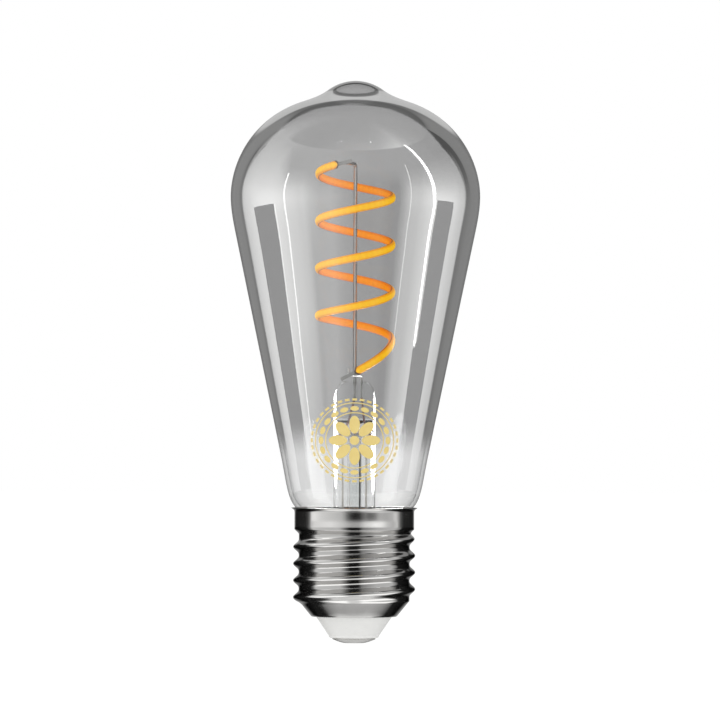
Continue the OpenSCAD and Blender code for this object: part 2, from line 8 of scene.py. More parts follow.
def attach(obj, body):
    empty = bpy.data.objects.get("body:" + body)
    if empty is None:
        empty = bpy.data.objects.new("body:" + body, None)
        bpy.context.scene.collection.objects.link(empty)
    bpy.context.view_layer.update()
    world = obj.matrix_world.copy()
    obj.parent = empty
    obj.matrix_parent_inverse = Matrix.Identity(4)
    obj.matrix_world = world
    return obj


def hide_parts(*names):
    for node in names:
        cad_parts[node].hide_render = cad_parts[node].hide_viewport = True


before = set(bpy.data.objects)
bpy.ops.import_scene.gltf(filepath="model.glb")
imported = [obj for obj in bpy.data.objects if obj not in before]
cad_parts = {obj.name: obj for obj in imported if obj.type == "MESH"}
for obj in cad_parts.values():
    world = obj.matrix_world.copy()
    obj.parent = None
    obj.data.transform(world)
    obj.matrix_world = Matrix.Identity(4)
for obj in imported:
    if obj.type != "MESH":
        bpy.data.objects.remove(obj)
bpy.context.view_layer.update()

mm = 0.001
white = (1, 1, 1, 1)
smooth = {"interpolation_type": "SMOOTHSTEP"}
scene = bpy.context.scene


# Adds a node, applies its settings, and links or sets its inputs. A shader node goes by its name without
# ShaderNode, and a kind of maths is followed by its operation.
def addNode(tree, kind, inputs=None, stops=None, **settings):
    kind, *operation = kind.split()
    node = tree.nodes.new(kind if "Node" in kind else "ShaderNode" + kind)
    if operation:
        node.operation = operation[0]
    for name, value in settings.items():
        setattr(node, name, value)
    for key, value in (inputs or {}).items():
        for source in value if isinstance(value, list) else [value]:
            if isinstance(source, bpy.types.Node):
                source = next(s for s in source.outputs if s.enabled)
            if isinstance(source, bpy.types.NodeSocket):
                tree.links.new(source, node.inputs[key])
            else:
                node.inputs[key].default_value = source
    if stops:
        elements = node.color_ramp.elements
        while len(elements) < len(stops):
            elements.new(1)
        for element, (place, grey) in zip(elements, stops):
            element.position, element.color = place, (grey, grey, grey, 1)
    return node


# A colour written as sRGB hex, as Blender's linear values
def colour(code):
    channels = [int(code[i:i + 2], 16) / 255 for i in (1, 3, 5)]
    return tuple(c / 12.92 if c <= 0.04045 else ((c + 0.055) / 1.055) ** 2.4 for c in channels) + (1,)


def newMaterial(name):
    material = bpy.data.materials.new(name)
    material.use_nodes = True
    material.node_tree.nodes.clear()
    return material, material.node_tree


def addObject(name, data):
    added = bpy.data.objects.new(name, data)
    scene.collection.objects.link(added)
    return added


def addMesh(name, points, faces):
    mesh = bpy.data.meshes.new(name)
    mesh.from_pydata(points, [], faces)
    return addObject(name, mesh)


# Camera, stage and light. The camera is held a fifth of a degree off level.
view = {"width": 155.8, "centreX": 1.11, "centreZ": 61.18, "eyeZ": 45, "distance": 1200, "sensor": 36,
        "roll": 0.2, "clipNear": 0.05, "clipFar": 50}

camera = addObject("camera", bpy.data.cameras.new("camera"))
scene.camera = camera
eye = Vector((view["centreX"], -view["distance"], view["eyeZ"])) * mm
target = Vector((view["centreX"], 0, view["centreZ"])) * mm
camera.location = eye
aim = (target - eye).to_track_quat("-Z", "Y") @ Quaternion((0, 0, 1), math.radians(view["roll"]))
camera.rotation_euler = aim.to_euler()
camera.data.sensor_width = view["sensor"]
camera.data.lens = view["sensor"] * (target - eye).length / mm / view["width"]
camera.data.clip_start, camera.data.clip_end = view["clipNear"], view["clipFar"]

scene.view_settings.view_transform = "Standard"

light = {"world": 0.78, "lampSize": 0.5, "lampAimZ": 0.06, "keyPlace": (-0.55, -0.6, 0.75), "keyPower": 2.6,
         "fillPlace": (0.7, -0.35, 0.4), "fillPower": 0.8, "floorGlow": 0.6, "floorWhite": 1.25,
         "floorHalf": 6.0, "floorZ": -0.03}


# One for rays from the camera, a mirror or glass, and none for those that only carry light
def seenDirectly(tree):
    path = addNode(tree, "LightPath")
    seen = path.outputs["Is Camera Ray"]
    for kind in ("Is Glossy Ray", "Is Transmission Ray"):
        seen = addNode(tree, "Math MAXIMUM", {0: seen, 1: path.outputs[kind]})
    return seen


scene.world = bpy.data.worlds.new("studio")
scene.world.use_nodes = True
tree = scene.world.node_tree
tree.nodes.clear()
strength = addNode(tree, "MapRange", {0: seenDirectly(tree), 3: light["world"], 4: 1.0})
sky = addNode(tree, "Background", {"Color": white, "Strength": strength})
addNode(tree, "OutputWorld", {"Surface": sky})

# The floor is white paper: part of its white is its own glow to the eye, and the rest carries the shadow
material, tree = newMaterial("whitePaper")
share = addNode(tree, "Math MULTIPLY", {0: seenDirectly(tree), 1: light["floorGlow"]})
paper = addNode(tree, "BsdfDiffuse", {"Color": colour("#F4F4F2")})
glow = addNode(tree, "Emission", {"Color": white, "Strength": light["floorWhite"]})
addNode(tree, "OutputMaterial", {"Surface": addNode(tree, "MixShader", {0: share, 1: paper, 2: glow})})

half, floorZ = light["floorHalf"], light["floorZ"]
floor = addMesh("floor", [(-half, -half, floorZ), (half, -half, floorZ), (half, half, floorZ),
                          (-half, half, floorZ)], [(0, 1, 2, 3)])
floor.data.materials.append(material)


def addLamp(name, shape, size, power):
    data = bpy.data.lights.new(name, "AREA")
    data.shape, data.size, data.size_y, data.energy = shape, *size, power
    return addObject(name, data)


for label in ("key", "fill"):
    lamp = addLamp(label + "Lamp", "SQUARE", (light["lampSize"], light["lampSize"]), light[label + "Power"])
    lamp.location = light[label + "Place"]
    aim = Vector((0, 0, light["lampAimZ"])) - lamp.location
    lamp.rotation_euler = aim.to_track_quat("-Z", "Y").to_euler()
    lamp.visible_glossy = False


# The value at x on a line through the stops, which are pairs in rising order
def between(x, stops):
    for (x0, y0), (x1, y1) in zip(stops, stops[1:]):
        if x <= x1:
            return y0 + (y1 - y0) * max(0, x - x0) / (x1 - x0)
    return stops[-1][1]


# The point at a radius and height in millimetres, and an azimuth in degrees from the camera towards the right
def pointAt(azimuth, r, z):
    a = math.radians(azimuth)
    return r * mm * math.sin(a), -r * mm * math.cos(a), z * mm


# A surface that only reflections see, like the walls and cards of a small white studio round the lamp. It
# joins rows of points, each with its brightness.
def reflectionOnly(name, rows, closed):
    points, brightness = zip(*(point for row in rows for point in row))
    count = len(rows[0])
    faces = [(k + i, k + (i + 1) % count, k + count + (i + 1) % count, k + count + i)
             for k in range(0, len(points) - count, count) for i in range(count if closed else count - 1)]
    surface = addMesh(name, points, faces)
    surface.data.attributes.new("brightness", "FLOAT", "POINT").data.foreach_set("value", brightness)
    material, tree = newMaterial(name)
    strength = addNode(tree, "Attribute", attribute_name="brightness").outputs["Fac"]
    shine = addNode(tree, "Emission", {"Color": white, "Strength": strength})
    addNode(tree, "OutputMaterial", {"Surface": shine})
    surface.data.materials.append(material)
    surface.visible_camera = surface.visible_diffuse = surface.visible_transmission = False
    surface.visible_shadow = surface.visible_volume_scatter = False


# A card on a cylinder of this radius, through stops of (height, start azimuth, end azimuth, brightness)
def addCard(name, radius, stops, degreesPerFace=4):
    steps = max(1, round(abs(stops[0][2] - stops[0][1]) / degreesPerFace))
    reflectionOnly(name, [[(pointAt(start + (end - start) * i / steps, radius, z), value)
                           for i in range(steps + 1)] for z, start, end, value in stops], closed=False)


# A tent of rings (radius, height) from top to bottom, with its brightness worked out at each point
def addTent(name, rings, brightnessOf, count=240):
    azimuths = [360 * i / count - (360 if i > count / 2 else 0) for i in range(count)]
    reflectionOnly(name, [[(pointAt(azimuth, r, z), brightnessOf(azimuth, r, z)) for azimuth in azimuths]
                          for r, z in rings], closed=True)


# What the glass mirrors: walls that are brightest at the sides, a grey ceiling, and a pale patch high behind.
# Each list has pairs of azimuth and brightness, or height and brightness.
wallStops = [
    (-152, 0.2), (-140, 0.3), (-124, 0.3), (-117.4, 0.22), (-114.4, 0.85), (-110, 0.98), (-103, 1.12),
    (-97, 1.2), (-75, 1.25), (-66, 1.15), (-60, 1.0), (-54, 0.93), (-44, 0.76), (-38, 0.4), (-28, 0.42),
    (-20, 0.44), (-12, 0.28), (0, 0.1), (12, 0.08), (20, 0.11), (30, 0.01), (36, 0.03), (41, 0.3), (46, 0.6),
    (54, 0.66), (60, 0.82), (66, 1.0), (75, 1.1), (96, 1.02), (103, 0.86), (109.4, 0.74), (112.2, 0.22),
    (124, 0.28), (140, 0.28), (152, 0.2)]
heightStops = [
    (20, 0.95), (45, 1.0), (62, 1.03), (75, 1.13), (88, 1.28), (100, 1.15), (118, 0.9), (135, 0.75),
    (150, 0.65)]
upperStops = [(-90, 0.5), (-60, 0.33), (-18, 0.33), (0, 0.24), (15, 0.2), (60, 0.2), (90, 0.1)]
ceilingStops = [
    (-130, 0.14), (-112, 0.44), (-98, 0.5), (-84, 0.22), (-50, 0.16), (-20, 0.28), (0, 0.35), (25, 0.42),
    (38, 0.62), (52, 0.85), (62, 0.52), (72, 0.28), (95, 0.16), (130, 0.14)]
studio = {"radius": 110, "floorZ": -60, "topZ": 220, "rearWidth": 61, "rearTopZ": 205, "ceilingRear": 0.18,
          "patch": 0.62, "patchZ": 165, "patchHigh": 42, "patchWide": 36, "patchEdge": (0.92, 1.05),
          "leanLeft": 6.5, "leanRight": 4, "leanAzimuths": (95, 110), "leanHeights": (25, 75),
          "softAzimuth": -38, "softWide": 9, "softHeights": (50, 65), "soft": 0.2,
          "shadeAzimuth": -52, "shadeWide": (12, 20), "shadeHeights": (8, 40), "shade": 0.38,
          "boostAzimuths": (88, 103), "boostRear": 0.1, "sideAzimuths": (60, 75),
          "upperFront": (110, 150), "upperLeft": (150, 205), "upperRight": (92, 165)}


# How far x has come from the first to the second of a pair, from 0 to 1
def ramp(x, pair):
    return between(x, [(pair[0], 0), (pair[1], 1)])


def studioBrightness(azimuth, r, z):
    s = studio
    if z > s["topZ"] - 1:
        ceiling = between(azimuth, ceilingStops) - s["ceilingRear"]
        return s["ceilingRear"] + ceiling * (r / s["radius"]) ** 2
    # The side walls reach further back lower down
    lean = ramp(abs(azimuth), s["leanAzimuths"]) * (1 - ramp(z, s["leanHeights"]))
    azimuth += lean * (s["leanLeft"] if azimuth < 0 else -s["leanRight"])
    wall = between(azimuth, wallStops)
    behind = 180 - abs(azimuth)
    if behind < s["rearWidth"]:
        wall += (s["ceilingRear"] - wall) * ramp(z, (s["rearTopZ"], s["topZ"]))
        fromPatch = math.hypot(behind / s["patchWide"], (z - s["patchZ"]) / s["patchHigh"])
        return s["patch"] + (wall - s["patch"]) * ramp(fromPatch, s["patchEdge"])
    # A soft light in front on the left high up, and a shade below it
    soft = (1 - ramp(abs(azimuth - s["softAzimuth"]), (0, s["softWide"]))) * ramp(z, s["softHeights"])
    wall += s["soft"] * soft
    shaded = (1 - ramp(abs(azimuth - s["shadeAzimuth"]), s["shadeWide"])) * (1 - ramp(z, s["shadeHeights"]))
    wall *= 1 - s["shade"] * shaded
    boost = between(z, heightStops)
    if boost > 1:
        boost = 1 + (boost - 1) * (1 + (s["boostRear"] - 1) * ramp(abs(azimuth), s["boostAzimuths"]))
    wall *= boost
    side = ramp(abs(azimuth), s["sideAzimuths"])
    beside = s["upperRight"] if azimuth > 0 else s["upperLeft"]
    upper = [front + (end - front) * side for front, end in zip(s["upperFront"], beside)]
    return wall + (between(azimuth, upperStops) - wall) * ramp(z, upper)


wallSteps, ceilingSteps = 48, 10
wallR, topZ = studio["radius"], studio["topZ"]
rings = [(0.1, topZ)] + [(wallR * i / ceilingSteps, topZ) for i in range(1, ceilingSteps)]
rings += [(wallR, topZ + (studio["floorZ"] - topZ) * i / wallSteps) for i in range(wallSteps + 1)]
addTent("studioTent", rings, studioBrightness)

# What the cap mirrors: black at the sides and in front, brighter below its thread. The band is what the
# collar mirrors under its rim, and the cone's heights are elevations from the tent's centre.
collarStops = [
    (-142, 0.5), (-122, 0.01), (-82, 0.02), (-75.5, 0.08), (-71.5, 0.23), (-67.5, 0.95), (-62, 1.02),
    (-50, 0.83), (-41, 0.75), (-32, 0.7), (-18, 0.59), (-14, 0.43), (-10, 0.18), (-5, 0.04), (0, 0.01),
    (7, 0.03), (12, 0.15), (16, 0.22), (21, 0.15), (26, 0.17), (30, 0.26), (34, 0.42), (38, 0.52), (48, 0.49),
    (59, 0.57), (64, 0.76), (67, 0.68), (71, 0.42), (76, 0.1), (84, 0.02), (122, 0.01), (142, 0.5)]
bandStops = [
    (-70, 0.6), (-62, 0.85), (-34, 0.98), (-14, 0.7), (-4, 0.5), (6, 0.5), (16, 0.9), (30, 1.2), (40, 1.1),
    (50, 0.7), (60, 0.56), (68, 0.72)]
threadStops = [
    (-145, 0.4), (-128, 0), (-80, 0.01), (-73, 0.14), (-67, 0.66), (-22, 0.6), (-12, 0.14), (-7, 0.01),
    (7, 0.01), (13, 0.25), (28, 0.46), (36, 0.56), (66, 0.58), (74, 0.3), (81, 0.01), (128, 0), (145, 0.4)]
lowStops = [
    (-145, 0.4), (-125, 0), (-80, 0.02), (-70, 1.3), (-16, 1.35), (-6, 0.8), (8, 0.8), (18, 1.3), (70, 1.35),
    (80, 0.02), (125, 0), (145, 0.4)]
coneStops = [
    (-93, 0.02), (-85, 0.06), (-77, 0.45), (-64, 0.72), (-46, 1), (50, 1), (64, 0.9), (80, 0.6), (90, 0.3),
    (96, 0.02)]
coneHeights = [
    (-68.6, 1.0), (-67.2, 0.85), (-66.7, 0.25), (-66.1, 0.25), (-65.6, 0.4), (-62, 0.48), (-60, 0.6),
    (-56, 0.75)]
capTent = {"radius": 24, "centreZ": 14, "bandWidth": 70, "threadZ": (-24.6, -23.8), "lowZ": (-8, -4),
           "coneAt": (56, 58.5), "coneDroop": 0.0017, "droopWidth": 90, "below": 0.75,
           "belowAt": (67.5, 69.5), "rearAt": (132, 140), "rearBelow": (45, 52)}
bandHeights = [(-26.4, 0), (-26.15, 1), (-25, 1), (-24.8, 0.4)]


def capBrightness(azimuth, r, z):
    t = capTent
    down = -math.degrees(math.atan2(z - t["centreZ"], r))
    collar, thread, low = (between(azimuth, stops) for stops in (collarStops, threadStops, lowStops))
    if abs(azimuth) < t["bandWidth"]:
        collar += (between(azimuth, bandStops) - collar) * between(-z, bandHeights)
    wall = collar + (thread - collar) * ramp(-z, t["threadZ"])
    wall += (low - wall) * ramp(-z, t["lowZ"])
    coneDown = down + t["coneDroop"] * min(abs(azimuth), t["droopWidth"]) ** 2
    cone = between(azimuth, coneStops) * between(-coneDown, coneHeights)
    wall += (cone - wall) * ramp(coneDown, t["coneAt"])
    # The centre contact mirrors the floor and what is behind it
    rear = ramp(abs(azimuth), t["rearAt"]) * ramp(down, t["rearBelow"])
    return wall + (t["below"] - wall) * max(rear, ramp(down, t["belowAt"]))


tentR = capTent["radius"]
rings = [(tentR, z) for z in (29.2, 26.4, 26.15, 25, 24.8, 24.6, 23.8, 20, 14, 8, 6, 4, 2, 0)]
rings += [(tentR * math.cos(math.radians(i)) + 0.01, -tentR * math.sin(math.radians(i)))
          for i in range(1, 90)]
addTent("capTent", rings, capBrightness)

cards = {
    "leftGrey": (108, [
        (84.5, -97.5, -72.2, 0), (60, -98, -72.4, 0), (45, -99.5, -73.7, 0), (30, -100.6, -74.8, 0),
        (-60, -104, -77, 0)]),
    "rightGrey": (108, [
        (89.5, 72.3, 92.2, 0), (56, 72.5, 93.2, 0), (45, 73.1, 94, 0), (37, 73.1, 94.6, 0),
        (34.5, 69.1, 94.9, 0), (-60, 69.2, 97, 0)]),
    "leftStrip": (106, [
        (135, -60.1, -59, 2.6), (112, -61, -59.6, 2.6), (92, -61.5, -60, 2.6), (60, -61.5, -60, 2.2),
        (44, -62.6, -61.1, 2.1), (34, -63.9, -62.5, 2.0), (16, -64.8, -63.4, 1.8), (-60, -69, -67.5, 2.6)]),
    "leftEdge": (107, [
        (84.5, -72.2, -70.7, 2.0), (60, -72.3, -70.8, 1.7), (44, -73.5, -72, 1.6), (25, -75, -73.6, 1.4)]),
    "rightStrip": (106, [
        (219, 59, 61.8, 2.5), (191, 61.4, 64.6, 4), (174, 62.3, 65.2, 4), (152, 64, 67.2, 4),
        (131, 65.6, 68.9, 4), (115, 66.4, 69.7, 4), (97, 67, 70.3, 4), (82, 68.3, 70.8, 4),
        (61, 67.7, 70.1, 4), (46, 68.3, 70.8, 4), (36, 68.8, 71.4, 4)]),
    "thinStrip": (106, [
        (155, 45.6, 46.4, 1.4), (70, 45.8, 46.6, 1.4), (55, 45.2, 46, 1.4), (42, 44, 44.8, 1.4),
        (30, 43, 43.8, 1.2)]),
}
for name, card in cards.items():
    addCard(name, *card)

# Small lamps round the mount, which only show as lights on its glass and wires: two long ones behind the
# stem at its sides, and a weak one before the wires. Each has azimuth, height, lean, shape, size and power.
mountLamps = {
    "leftStemLamp": (-120, 44.8, 18, "ELLIPSE", (12.6, 24), 0.015),
    "rightStemLamp": (119, 43.6, -18, "ELLIPSE", (12.6, 24), 0.015),
    "wireLamp": (-8, 82, 0, "RECTANGLE", (10, 50), 0.002),
}
mountLampR = 11.0
for name, (azimuth, z, lean, shape, (width, height), power) in mountLamps.items():
    lamp = addLamp(name, shape, (width * mm, height * mm), power)
    lamp.location = pointAt(azimuth, mountLampR, z)
    out = Vector(pointAt(azimuth, 1, 0)).normalized()
    lamp.rotation_mode = "QUATERNION"
    lamp.rotation_quaternion = Quaternion(out, math.radians(lean)) @ (-out).to_track_quat("-Z", "Y")
    lamp.visible_camera = lamp.visible_diffuse = lamp.visible_transmission = False
    lamp.visible_volume_scatter = False
print("stage ready")


# Shapes that several pieces share

def unit(x, z):
    length = math.hypot(x, z)
    return x / length, z / length


# Points of a cubic curve through four control points, without its last one
def curvePoints(p, count):
    points = []
    for i in range(count):
        t = i / count
        weights = ((1 - t) ** 3, 3 * t * (1 - t) ** 2, 3 * t * t * (1 - t), t ** 3)
        points.append(tuple(sum(w * q[k] for w, q in zip(weights, p)) for k in (0, 1)))
    return points


# The point at a distance from p along a direction, in the plane of a profile
def along(p, direction, distance):
    return p[0] + direction[0] * distance, p[1] + direction[1] * distance


# The profile moved inwards, square to itself. Its last point lies on the axis.
def movedIn(profile, distance):
    moved = []
    for i in range(len(profile) - 1):
        before, after = profile[max(i - 1, 0)], profile[i + 1]
        d = unit(after[0] - before[0], after[1] - before[1])
        moved.append((profile[i][0] - distance * d[1], profile[i][1] + distance * d[0]))
    return moved + [(0, profile[-1][1] - distance)]


# Turns a profile of (radius, height) in millimetres into a surface round the axis. A closed profile has no
# ends, and its faces after the outer rings take the second material.
def lathe(name, profile, segments, closed=False, outerRings=None, onAxis=1e-6):
    points, rings = [], []
    for r, z in profile:
        if r < onAxis:
            rings.append([len(points)] * segments)
            points.append((0, 0, z * mm))
        else:
            rings.append(list(range(len(points), len(points) + segments)))
            turns = [math.tau * i / segments for i in range(segments)]
            points += [(r * mm * math.cos(a), r * mm * math.sin(a), z * mm) for a in turns]
    faces, kinds = [], []
    for k in range(len(rings) if closed else len(rings) - 1):
        low, high = rings[k], rings[(k + 1) % len(rings)]
        for i in range(segments):
            j = (i + 1) % segments
            face = [low[i], low[j], high[j], high[i]]
            face = [v for n, v in enumerate(face) if v not in face[:n]]
            if len(face) > 2:
                faces.append(face)
                kinds.append(0 if outerRings is None or k < outerRings - 1 else 1)
    piece = addMesh(name, points, faces)
    piece.data.polygons.foreach_set("material_index", kinds)
    piece.data.shade_smooth()
    return piece


def place(piece, slot, *replaced):
    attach(piece, "root")
    if replaced:
        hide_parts(*replaced)


# Turns a piece with its modifiers into one plain mesh
def settle(piece):
    graph = bpy.context.evaluated_depsgraph_get()
    graph.update()
    mesh = bpy.data.meshes.new_from_object(piece.evaluated_get(graph))
    piece.modifiers.clear()
    old, piece.data = piece.data, mesh
    mesh.name = piece.name
    bpy.data.meshes.remove(old)


# A new tree of geometry nodes with inputs named by kind, and the sockets that give them
def geometryTree(name, labelsByKind):
    tree = bpy.data.node_groups.new(name, "GeometryNodeTree")
    for kind, labels in {"Geometry": ["Geometry"], **labelsByKind, "Material": ["Material"]}.items():
        for label in labels:
            tree.interface.new_socket(label, in_out="INPUT", socket_type="NodeSocket" + kind)
    tree.interface.new_socket("Geometry", in_out="OUTPUT", socket_type="NodeSocketGeometry")
    return tree, tree.nodes.new("NodeGroupInput").outputs


# Ends a tree: its instances are made real and its material is set
def endTree(tree, geometry, material):
    solid = addNode(tree, "GeometryNodeRealizeInstances", {"Geometry": geometry})
    solid = addNode(tree, "GeometryNodeSetMaterial", {"Geometry": solid, "Material": material})
    addNode(tree, "NodeGroupOutput", {0: solid})


# Puts the tree on the piece and sets its inputs by the identifiers of their sockets
def useTree(piece, tree, values):
    modifier = piece.modifiers.new(tree.name, "NODES")
    modifier.node_group = tree
    for item in tree.interface.items_tree:
        if item.in_out == "INPUT" and item.name in values:
            modifier[item.identifier] = values[item.name]


# The glass bulb
glass = {"wall": 0.8, "neckR": 11.0, "sealZ": 19.2, "sealHigh": 2.5, "neckTopZ": 24.75,
         "mouth": (12.75, 29.3), "shoulder": (15.95, 40.6), "taper": (25.6, 87.0), "widest": (27.0, 96.5),
         "crown": (11.9, 116.93), "crownSlope": 0.34, "tipZ": 121.6, "tipR": 10.0, "tipBallR": 6.0,
         "taperRows": 20, "tipRows": 10, "segments": 160}

mouth, shoulder, taper = glass["mouth"], glass["shoulder"], glass["taper"]
widest, crown, tipR, neckR = glass["widest"], glass["crown"], glass["tipR"], glass["neckR"]
taperRun = (taper[0] - shoulder[0], taper[1] - shoulder[1])
mouthWay, taperWay, crownWay = unit(1, 1), unit(*taperRun), unit(-1, glass["crownSlope"])
tipAngle = math.asin(glass["tipBallR"] / tipR)
tipArc = [tipAngle * (1 - i / glass["tipRows"]) for i in range(glass["tipRows"] + 1)]
tip = [(tipR * math.sin(a), glass["tipZ"] - tipR * (1 - math.cos(a))) for a in tipArc]
ball, ballWay = tip[0], (-math.cos(tipAngle), math.sin(tipAngle))
neckRise, shoulderRise = mouth[1] - glass["neckTopZ"], shoulder[1] - mouth[1]
bellyRise, domeRise = widest[1] - taper[1], crown[1] - widest[1]
crownRun, ballRun = widest[0] - crown[0], crown[0] - ball[0]

# Each curve has its two ends and the reach of its two tangents
outline = [(neckR, glass["sealZ"]), (neckR, glass["sealZ"] + glass["sealHigh"])]
outline += curvePoints([(neckR, glass["neckTopZ"]), (neckR, glass["neckTopZ"] + 0.55 * neckRise),
                        along(mouth, mouthWay, -1.4), mouth], 12)
outline += curvePoints([mouth, along(mouth, mouthWay, 0.22 * shoulderRise),
                        along(shoulder, taperWay, -0.5 * shoulderRise), shoulder], 26)
outline += [along(shoulder, taperRun, i / glass["taperRows"]) for i in range(glass["taperRows"])]
outline += curvePoints([taper, along(taper, taperWay, 0.33 * bellyRise),
                        (widest[0], widest[1] - 0.33 * bellyRise), widest], 12)
outline += curvePoints([widest, (widest[0], widest[1] + 0.35 * domeRise),
                        along(crown, crownWay, -0.75 * crownRun), crown], 40)
outline += curvePoints([crown, along(crown, crownWay, 0.27 * ballRun),
                        along(ball, ballWay, -0.39 * ballRun), ball], 16)
outline += tip
inside = movedIn(outline, glass["wall"])
bulbGlass = lathe("bulbGlass", outline + inside[::-1], glass["segments"], closed=True,
                  outerRings=len(outline))

# Glass with a vacuum-deposited mirror coat: a grey half mirror that thins out to clear glass at the neck.
# Seen at a slant it lets nothing through, which draws a dark rim inside the outline. That rim is painted
# shade standing in for the dark that the glass's edges mirror: its width is set by height and leans further
# to the right, and near the tip its mirror tone is painted darker. From inside it only absorbs.
smoke = {"clearZ": 39.5, "fullZ": 48.6, "opacity": 0.43, "rimOpacity": 0.92, "clearOpacity": 0.13,
         "rimWide": 0.03, "rimLowZ": 98.0, "rimTopZ": 117.0, "rimShadeLean": -1.2, "tipLowZ": 119.0,
         "tipHighZ": 119.5, "glancePower": 5.0, "gloss": 0.03, "insideLow": 0.01, "insideHigh": 0.5}


# How far a surface is turned from the eye, and how much of that shows at a glance
def glanceOf(tree):
    facing = addNode(tree, "LayerWeight", {"Blend": 0.5}).outputs["Facing"]
    return facing, addNode(tree, "Math POWER", {0: facing, 1: smoke["glancePower"]})


# A mirror of this colour over clear glass, as far as it is opaque
def halfMirror(tree, tone, opacity, clearTone):
    mirror = addNode(tree, "BsdfPrincipled",
                     {"Base Color": tone, "Metallic": 1.0, "Roughness": smoke["gloss"]})
    clear = addNode(tree, "BsdfTransparent", {"Color": colour(clearTone)})
    mixed = addNode(tree, "MixShader", {0: opacity, 1: clear, 2: mirror})
    addNode(tree, "OutputMaterial", {"Surface": mixed})


material, tree = newMaterial("mirrorCoatedGlass")
spot = addNode(tree, "SeparateXYZ", {0: addNode(tree, "TexCoord").outputs["Object"]}).outputs
coat = addNode(tree, "MapRange", {0: spot["Z"], 1: smoke["clearZ"] * mm, 2: smoke["fullZ"] * mm}, **smooth)
facing, glancing = glanceOf(tree)
# How far from the outline the rim of painted shade ends: furthest below the crown, and a little further on
# the right
height = addNode(tree, "MapRange", {0: spot["Z"], 1: smoke["rimLowZ"] * mm, 2: smoke["rimTopZ"] * mm})
start = addNode(tree, "ValToRGB", {0: height}, [(0.0, 0.543), (0.11, 0.537), (0.35, 0.503), (0.53, 0.472),
                                                (0.71, 0.512), (0.83, 0.545), (0.91, 0.585), (0.96, 0.615)])
start = addNode(tree, "Math MULTIPLY_ADD", {0: spot["X"], 1: smoke["rimShadeLean"], 2: start.outputs["Color"]})
end = addNode(tree, "Math ADD", {0: start, 1: smoke["rimWide"]})
rim = addNode(tree, "MapRange", {0: facing, 1: start, 2: end}, **smooth)
coated = addNode(tree, "MapRange", {0: rim, 3: smoke["opacity"], 4: smoke["rimOpacity"]})
bare = addNode(tree, "MapRange", {0: glancing, 3: smoke["clearOpacity"], 4: 1.0})
opacity = addNode(tree, "MapRange", {0: coat, 3: bare, 4: coated})
# Painted shade: near the tip the rim's mirror tone turns a darker grey
rimTipShade = addNode(tree, "MapRange", {0: spot["Z"], 1: smoke["tipLowZ"] * mm, 2: smoke["tipHighZ"] * mm},
                 **smooth)
rimTipShade = addNode(tree, "Math MULTIPLY", {0: rimTipShade, 1: rim})
tone = addNode(tree, "Mix", {0: rimTipShade, 6: colour("#E6E6E5"), 7: colour("#A4A4A3")}, data_type="RGBA")
fromInside = addNode(tree, "NewGeometry").outputs["Backfacing"]
tone = addNode(tree, "Mix", {0: fromInside, 6: tone, 7: colour("#202020")}, data_type="RGBA")
halfMirror(tree, tone, opacity, "#FCFCFC")
bulbGlass.data.materials.append(material)

# The bare inside of the blown glass: clear, with a weak reflection
material, tree = newMaterial("blownGlassInside")
facing, glancing = glanceOf(tree)
opacity = addNode(tree, "MapRange", {0: glancing, 3: smoke["insideLow"], 4: smoke["insideHigh"]})
halfMirror(tree, colour("#B8BABA"), opacity, "#FDFDFD")
bulbGlass.data.materials.append(material)
place(bulbGlass, "smoked_glass", "glass_bulb")
print("bulb ready")


# The filament
coil = {"lengths": {"Radius": 8.0, "Pitch": 10.25, "Base Height": 59.35, "First Rise": 3.7, "Tilt": 0.95},
        "turns": 3.925, "startAngle": -90.0, "firstSpan": 110.0, "ringDegrees": 3.0, "stripWidth": 1.7,
        "stripThick": 0.14, "stripRounding": 0.01, "coatThick": 0.64, "coatCover": 2.15, "coatRounding": 0.9,
        "endScale": 0.3, "arcSteps": 12, "chipPitch": 1.3}

# The tree bends a row of points into the spiral and sweeps a closed section along it
spiralTree, inputs = geometryTree("spiralStrip", {
    "Object": ["Section"], "Int": ["Rings"],
    "Float": ["Spiral Start", "Spiral End", "From Angle", "To Angle", "First Span", "End Rounding",
              *coil["lengths"]]})
tree = spiralTree
spine = addNode(tree, "GeometryNodeMeshToCurve",
                {0: addNode(tree, "GeometryNodeMeshLine", {"Count": inputs["Rings"]})})
last = addNode(tree, "Math SUBTRACT", {0: inputs["Rings"], 1: 1})
step = addNode(tree, "Math DIVIDE", {0: addNode(tree, "GeometryNodeInputIndex"), 1: last})
angle = addNode(tree, "MapRange", {0: step, 3: inputs["From Angle"], 4: inputs["To Angle"]})
turned = addNode(tree, "Math SUBTRACT", {0: angle, 1: inputs["Spiral Start"]})
height = addNode(tree, "Math MULTIPLY", {0: turned, 1: 1 / math.tau})
height = addNode(tree, "Math MULTIPLY_ADD", {0: height, 1: inputs["Pitch"], 2: inputs["Base Height"]})
# The first stretch rises more steeply and eases into the even pitch
early = addNode(tree, "Math DIVIDE", {0: turned, 1: inputs["First Span"]}, use_clamp=True)
rise = addNode(tree, "Math MULTIPLY", {0: early, 1: 4.0 / 3})
fourth = addNode(tree, "Math POWER", {0: early, 1: 4.0})
rise = addNode(tree, "Math MULTIPLY_ADD", {0: fourth, 1: -1.0 / 3, 2: rise})
height = addNode(tree, "Math MULTIPLY_ADD", {0: rise, 1: inputs["First Rise"], 2: height})
waves = [addNode(tree, kind, {0: angle}) for kind in ("Math COSINE", "Math SINE")]
